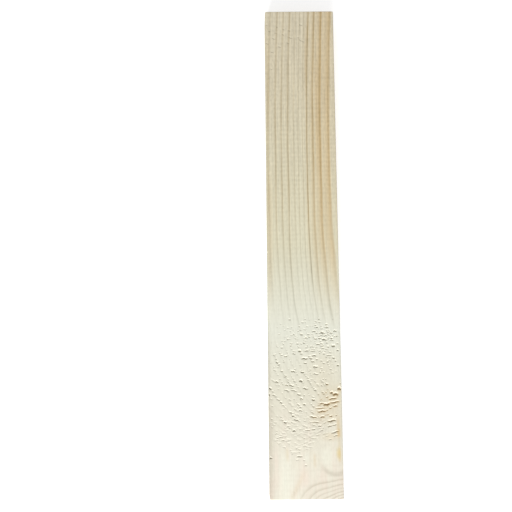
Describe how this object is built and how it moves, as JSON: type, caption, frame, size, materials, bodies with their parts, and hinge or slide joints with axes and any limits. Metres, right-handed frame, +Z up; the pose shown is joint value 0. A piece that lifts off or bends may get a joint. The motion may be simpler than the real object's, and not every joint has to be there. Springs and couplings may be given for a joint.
{
  "type": "timber plank",
  "caption": "Planed square-edged softwood plank, a straight rectangular length of timber with eased long edges and square sawn ends, used as building stock.",
  "frame": {"origin": "middle of the underside, on the surface that the plank lies on", "axes": "+Y along the length of the plank, +X across its width, +Z up through its thickness"},
  "size_m": [0.044, 0.305, 0.0205],
  "materials": {
    "planed_softwood": "planed, unsealed"
  },
  "bodies": {
    "root": {"plank": "planed_softwood"}
  },
  "joints": []
}
